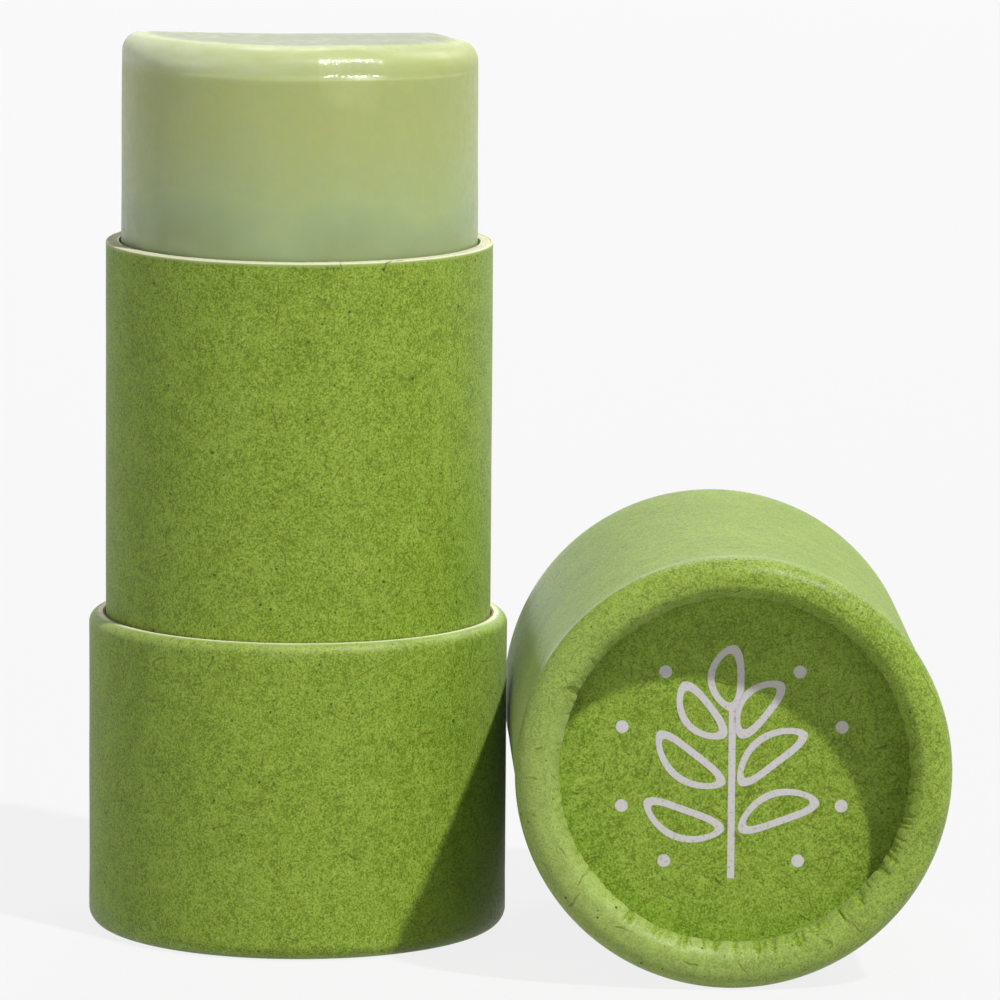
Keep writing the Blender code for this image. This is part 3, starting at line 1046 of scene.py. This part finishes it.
def smear_at(turn, sunk):
    """The glossy mark in front: its share at a place, in two streaks one above the other."""
    across = exp(-(angle_between(turn, SMEAR_TURN) / SMEAR_WIDTH) ** 4)
    streaks = ((SMEAR_TOP, 0.45), (SMEAR_FOOT, 0.2))
    return across * max(exp(-((sunk - middle) / width) ** 2) for middle, width in streaks)


def edge_step(turn, sunk):
    """In front the round edge ends in a small step: how far the skin lies back above it."""
    above = 1 - ease(sunk, SMEAR_FOOT - STEP_BLEND, SMEAR_FOOT + STEP_BLEND)
    above *= ease(sunk, 0.6, 1.6)
    front = exp(-(angle_between(turn, SMEAR_TURN) / STEP_WIDTH) ** 2)
    return STEP_DEPTH * above * front * (0.8 + 0.5 * wander(BALM_RADIUS, turn, 0.0, 3.0, 63))


def pressed_flat(turn, sunk):
    """The mark is also pressed flat: how far the round skin is cut back to a chord."""
    chord = max(SMEAR_WIDTH ** 2 - angle_between(turn, SMEAR_TURN) ** 2, 0.0) * BALM_RADIUS / 2
    return chord * ease(sunk, 0.0, 0.5) * (1 - ease(sunk, 1.8, 4.2))


def shape_balm(radius, turn, height, along):
    rounding = edge_round(turn)
    flat = BALM_HEAD - rounding
    if height >= EDGE_FOOT - 0.001:
        if radius <= BALM_FLAT:
            radius *= flat / BALM_FLAT
        else:
            lift = (height - EDGE_FOOT) / BALM_EDGE
            radius = flat + rounding * (radius - BALM_FLAT) / BALM_EDGE
            height = BALM_TOP - rounding + rounding * lift
    elif height > SHAPED_FROM:
        stretched = (height - SHAPED_FROM) * (BALM_TOP - rounding - SHAPED_FROM)
        height = SHAPED_FROM + stretched / (EDGE_FOOT - SHAPED_FROM)
    if height <= SHAPED_FROM:
        return radius, turn, height, 0.0
    sunk = BALM_TOP - height
    near_top = ease(height, BALM_TOP - 4.0, BALM_TOP - 0.5)
    # Marks above 0 on the left are wax bloom and painted sheen; the flat top gets -1, for its
    # painted shade.
    left = 0.5 - 0.5 * cos(turn)
    edge = (1 - ease(sunk, 1.2, 2.6)) * ease(radius, flat, BALM_HEAD - 0.3 * rounding)
    wear_and_light = edge * BLOOM_AND_SHEEN_EDGE * left ** 1.5 + PAINTED_SHEEN_SIDE * left ** 3 - 1.0
    wear_and_light += ease(radius, flat - 1.0, BALM_HEAD - 0.8 * rounding)
    low_side = max(cos(angle_between(turn, LOW_SIDE)), 0.0) ** 2
    fallen = top_fall(radius * sin(turn)) * ease(height, SHAPED_FROM, BALM_TOP - 1.5)
    fallen += LOW_BY * low_side * ease(radius, 8.6, 10.8) * near_top
    waves = BALM_WAVES * (0.5 + 0.5 * wander(radius, turn, 0.0, 4.5, 60)) * near_top
    height -= fallen + waves
    radius -= edge_step(turn, sunk) + pressed_flat(turn, sunk) * ease(radius, 9.0, 10.5)
    radius -= 0.03 * (1 + wander(radius, turn, height, 5.0, 61)) * ease(radius, 9.0, 11.5)
    return radius, turn, height, wear_and_light


def balm_shine(radius, height, turn):
    return smear_at(turn, BALM_TOP - height) if radius > 9.0 else 0.0


balm_skin = shaped(turned(balm_profile(), closed=False), shape_balm)
finished(polished(balm_skin, balm_shine), "balm_stick", "plunger", balm_finish, "balm", "balm")

# %% [markdown]
# ## The cap's wrap
#
# This is the piece that the picture shows best. Its rolled end faces the
# viewer: a fat, soft ring, full at its outer corner. A pale line is painted
# round the barrel where the rolling tool stopped, as painted highlight, and the
# roll is painted palest at the lower left, as painted highlight too. The
# puckers are strongest at the lower right, and the sheet's overlap shows as a
# short notch at the left of the ring's inner edge.

# %% Shape and place the cap's wrap
CAP_SEAM = radians(207)
STRONGEST = radians(50)
# The side of the roll that is painted palest, as painted highlight.
PAINTED_PALEST = radians(140)
CAP_SIDES, CAP_WEDGES = 1260, 18


def cap_strength(turn):
    """How strongly the cap is puckered at a turn, as a share."""
    return 0.35 + 0.65 * side_share(turn, STRONGEST) ** 1.5


def cap_rubbed_and_lit(turn):
    """The roll is paler all round from handling, and painted paler at the lower left, where gloss
    lies on its inner bend, as painted highlight.
    """
    return 0.12 + 0.40 * side_share(turn, PAINTED_PALEST)


cap_creases = draw_creases(
    seed=7, count=190, depth=0.16, leg=CAP_TURN_IN - CAP_CORNER, strength=cap_strength)
add_crease(cap_creases, CAP_SEAM, width=0.15, depth=0.42, reach=4.3, lean=0.05)
cap_skin = shaped(
    turned(CAP_ROLL.profile()[0], sides=CAP_SIDES, wedges=CAP_WEDGES),
    shape_wrap(CAP_ROLL, cap_creases, seam=None, pucker_reach=4.4, scallop=0.12,
               highlight_line=0.9, rubbed_and_lit=cap_rubbed_and_lit))
finished(
    polished(cap_skin, shine(CAP_ROLL)), "cap_kraft", "cap", kraft, "kraft_green", "cap_wrap")

# %% [markdown]
# ## The cap's disc and its facing
#
# A board disc with a drawn flange stands in the roll, and a round of the same
# kraft paper is glued on its front. The paper went on wet, so it has slow waves
# and a few radial wrinkles near its edge, where the roll presses on it.

# %% Make disc and facing
FLANGE_BEND = 0.20
FACING_RADIUS = BORE - DISC_BOARD - FLANGE_BEND - 2 * GLUE_LINE


def disc_profile():
    outer = BORE - GLUE_LINE
    bend = DISC_BOARD + FLANGE_BEND
    centre = (outer - bend, DISC_FRONT - FLANGE_BEND)
    back = DISC_FRONT + DISC_BOARD
    round_back = arc(centre, bend, 90, 0, 10)
    round_front = arc(centre, FLANGE_BEND, 0, 90, 4)
    foot = [(outer, CAP_CORNER), (outer - DISC_BOARD, CAP_CORNER)]
    return ([(0, back)] + run((0, back), round_back[0], 0.8) + round_back + foot + round_front
            + run(round_front[-1], (0, DISC_FRONT), 2.0) + [(0, DISC_FRONT)])


def facing_rise(x, y):
    """How far the facing stands towards the viewer at a place on it, in millimetres."""
    radius, turn = hypot(x, y), atan2(y, x)
    free = 1 - ease(radius, 10.2, 11.0)
    waves = 0.045 * wander(radius, turn, 0.0, 5.5, 70) + 0.012 * wander(radius, turn, 0.0, 1.8, 71)
    spoke = noise.noise(Vector((cos(turn), sin(turn), 0.0)) * 9.0)
    fine_spoke = noise.noise(Vector((cos(turn), sin(turn), 3.0)) * 17.0)
    wrinkles = 0.05 * (spoke + 0.6 * fine_spoke) * ease(radius, 6.5, 10.0)
    return (waves + wrinkles) * free


def shape_facing(radius, turn, height, along):
    if height < FACING_FRONT + FACING_PAPER / 2:
        height -= facing_rise(radius * cos(turn), radius * sin(turn))
    return radius, turn, height, 0.0


def shape_disc_back(radius, turn, height, along):
    if height > DISC_FRONT + DISC_BOARD / 2 and radius < 11.5:
        height -= 0.05 * (1 + wander(radius, turn, 0.0, 3.5, 72))
    return radius, turn, height, 0.0


finished(
    shaped(turned(disc_profile(), closed=False, sides=PLAIN_SIDES), shape_disc_back),
    "cap_end_disc", "cap", tan_board, "tube_board", "cap_disc")
facing_outline = rounded_disc(FACING_RADIUS, FACING_FRONT, FACING_FRONT + FACING_PAPER, 0.03, 0.2)
finished(
    shaped(turned(facing_outline, closed=False), shape_facing),
    "cap_end_facing", "cap", kraft, "kraft_green", "cap_facing")

# %% [markdown]
# ## A print for the facing
#
# The facing carries a small print in off-white ink. This one is a sprig of my
# own: a stem with paired leaves that fan out over the disc, and a few dots. Each
# leaf is two circles drawn out to leaf shapes, one a stroke's width inside the
# other, and bridged. The flat drawing is then extruded by the ink's thickness,
# and every point rides on the facing's own waves.

# %% Draw the print
INK_RISE = 0.015
INK_SUNK = 0.004
STROKE = 0.46
DOT_RING = 7.6
DOT_RADIUS = 0.42


def leaf_edge(mesh, start, direction, length, width, shrink):
    """A closed line in the shape of a leaf, drawn in by the stroke where asked."""
    circle = bmesh.ops.create_circle(mesh, cap_ends=False, segments=72, radius=1.0)["verts"]
    long, wide = length - 2.6 * shrink, width - 2 * shrink
    for point in circle:
        share = 0.5 + 0.5 * point.co.x
        half = wide / 2 * copysign(abs(point.co.y) ** 1.15, point.co.y)
        reach = (length - long) / 2 + long * share
        bow = 0.10 * length * sin(pi * reach / length)
        x = start[0] + reach * cos(direction) - (half + bow) * sin(direction)
        y = start[1] + reach * sin(direction) + (half + bow) * cos(direction)
        point.co = (x * MM, y * MM, 0)
    return list({edge for point in circle for edge in point.link_edges})


def leaf_outline(mesh, start, direction, length, width):
    """A leaf drawn with one stroke: an outer and an inner line, bridged."""
    outer = leaf_edge(mesh, start, direction, length, width, 0.0)
    inner = leaf_edge(mesh, start, direction, length, width, STROKE)
    bmesh.ops.bridge_loops(mesh, edges=outer + inner)


def stem_line(mesh, low, high, width):
    """An upright band of ink, in short steps so that it can follow the paper's waves."""
    steps = int((high - low) / 0.2)
    verts = bmesh.ops.create_grid(mesh, x_segments=2, y_segments=steps, size=1.0)["verts"]
    for point in verts:
        height = low + (high - low) * (0.5 + 0.5 * point.co.y)
        point.co = Vector((point.co.x * width / 2, height, 0)) * MM


def dot(mesh, centre, radius):
    verts = bmesh.ops.create_circle(mesh, cap_ends=True, segments=32, radius=radius * MM)["verts"]
    bmesh.ops.translate(mesh, verts=verts, vec=Vector((centre[0], centre[1], 0)) * MM)


def draw_sprig():
    mesh = bmesh.new()
    for height, length, spread in ((-4.2, 5.6, 20), (-1.2, 5.6, 38), (1.9, 4.6, 52)):
        for side in (-1, 1):
            direction = radians(90 - side * (90 - spread))
            leaf_outline(mesh, (side * 0.45, height), direction, length, 2.3)
    leaf_outline(mesh, (0, 3.6), pi / 2, 4.4, 2.4)
    stem_line(mesh, -7.4, 3.9, STROKE)
    for degree in (20, 55, 125, 160, 200, 235, 305, 340):
        turn = radians(degree)
        dot(mesh, (DOT_RING * cos(turn), DOT_RING * sin(turn)), DOT_RADIUS)
    return mesh


sprig = draw_sprig()
print("print faces:", len(sprig.faces))

# %% [markdown]
# ## Ink on paper
#
# Screen ink lies on the fibres and doesn't fill every hollow, so its white is
# broken by faint specks of the green below. It is also a touch smoother than
# the paper round it.

# %% Ink material, and the print in its place
INK_WHITE = (0.680, 0.640, 0.650)
INK_THIN = (0.420, 0.450, 0.330)


def make_ink():
    material, tree, shader = fresh_material("off-white ink", Roughness=0.55, Specular_IOR_Level=0.4)
    cover = clouds(millimetres(tree), 5.0, 3.0, 0.7)
    plug(shader, {
        "Base Color": toned(cover, [(0.30, INK_THIN), (0.46, INK_WHITE)]),
        "Normal": bumped(cover, 0.3, 0.02)})
    return material


def lay_print(mesh):
    """Turn the flat drawing to face the viewer, thicken it and lay it on the facing's waves."""
    top = bmesh.ops.extrude_face_region(mesh, geom=mesh.faces[:])["geom"]
    raised = {v for v in top if isinstance(v, bmesh.types.BMVert)}
    for point in mesh.verts:
        x, y = point.co.x / MM, -point.co.y / MM
        lift = INK_RISE if point in raised else -INK_SUNK
        point.co = Vector((x, y, FACING_FRONT - facing_rise(x, y) - lift)) * MM
    bmesh.ops.recalc_face_normals(mesh, faces=mesh.faces)
    return mesh


finished(lay_print(sprig), "cap_end_print", "cap", make_ink())

# %% [markdown]
# ## Floor, light and camera
#
# The picture is a plain studio shot on white. One small, hard lamp stands high
# on the right, and throws the cap's shadow on the base. Soft discs at the left
# and low in front fill the other side, and those behind show as a grey sheen on
# every edge that turns away. Floor and world are white only to the camera and
# to what gloss or glass shows, and give the object hardly any light.

# %% Floor and surroundings
FLOOR_COLOUR = (0.50, 0.50, 0.50)
FLOOR_GLOW = 0.84
WORLD_LEVEL = 0.02
WHITE = (1, 1, 1, 1)


def looked_at(tree):
    """1 for rays from the camera and for what gloss or glass shows, 0 for light itself."""
    path = node(tree, "LightPath").outputs
    direct = sums("MAXIMUM", path["Is Camera Ray"], path["Is Glossy Ray"])
    return sums("MAXIMUM", direct, path["Is Transmission Ray"])


def show_white(tree, output, share, lit, kind):
    """Put a plain white shader in the place of the lit one, by a share."""
    white = node(tree, kind, {"Color": WHITE, "Strength": 1.0})
    mix = node(tree, "MixShader", {0: share, 1: lit, 2: white.outputs[0]})
    plug(tree.nodes[output], {"Surface": mix.outputs["Shader"]})


def make_floor():
    mesh = bmesh.new()
    bmesh.ops.create_grid(mesh, x_segments=1, y_segments=1, size=3.0)
    material, tree, shader = fresh_material(
        "pale floor", Base_Color=(*FLOOR_COLOUR, 1.0), Roughness=0.9, Specular_IOR_Level=0.1)
    share = product(looked_at(tree), FLOOR_GLOW)
    show_white(tree, "Material Output", share, shader.outputs["BSDF"], "Emission")
    floor = mesh_object(mesh, "floor", material)


def make_world():
    world = bpy.data.worlds.new("studio walls")
    world.use_nodes = True
    tree = world.node_tree
    light = plug(tree.nodes["Background"], {"Color": WHITE, "Strength": WORLD_LEVEL})
    show_white(tree, "World Output", looked_at(tree), light.outputs["Background"], "Background")
    bpy.context.scene.world = world


make_floor()
make_world()

# %% Lamps
# name: (kind, degrees right of the front, degrees up, spread, strength), where
# the spread is in degrees for the sun and in metres for the discs
LAMPS = {
    "key": ("SUN", 40.7, 54.6, 2.4, 3.0),
    "left": ("AREA", -76, 20, 0.5, 2.8),
    "front left": ("AREA", -20, 8, 0.5, 1.6),
    "front right": ("AREA", 30, 8, 0.5, 1.5),
    "right": ("AREA", 66, 6, 0.5, 0.7),
    "back": ("AREA", 180, 50, 0.6, 5.6),
    "low back": ("AREA", 180, 15, 0.6, 1.0),
    "back right": ("AREA", 140, 38, 0.6, 4.6),
}
LAMP_DISTANCE = 1.6
LAMP_AIM = Vector((0.0, 0.0, 0.03))


def make_lamp(name, kind, azimuth, elevation, spread, strength):
    a, e = radians(azimuth), radians(elevation)
    towards = Vector((sin(a) * cos(e), -cos(a) * cos(e), sin(e)))
    data = bpy.data.lights.new(name, kind)
    data.energy = strength
    if kind == "SUN":
        data.angle = radians(spread)
    else:
        data.shape, data.size = "DISK", spread
    lamp = new_object(name, data)
    lamp.location = LAMP_AIM + towards * LAMP_DISTANCE
    lamp.rotation_euler = towards.to_track_quat("Z", "Y").to_euler()


for name, settings in LAMPS.items():
    make_lamp(name, *settings)
print("lamps:", ", ".join(LAMPS))

# %% Camera
CAMERA_PLACE = (-0.015573, -0.531072, 0.110140)
HEADING, PITCH, ROLL = (radians(d) for d in (1.595, 8.650, 0.429))
LENS, SENSOR = 291.553, 36.0


def make_camera():
    data = bpy.data.cameras.new("camera")
    data.lens, data.sensor_width = LENS, SENSOR
    data.clip_start, data.clip_end = 0.01, 20.0
    camera = new_object("camera", data)
    camera.matrix_world = (
        Matrix.Translation(CAMERA_PLACE) @ Matrix.Rotation(-HEADING, 4, "Z")
        @ Matrix.Rotation(pi / 2 - PITCH, 4, "X") @ Matrix.Rotation(ROLL, 4, "Z"))
    bpy.context.scene.camera = camera


make_camera()
bpy.context.scene.view_settings.view_transform = "Standard"
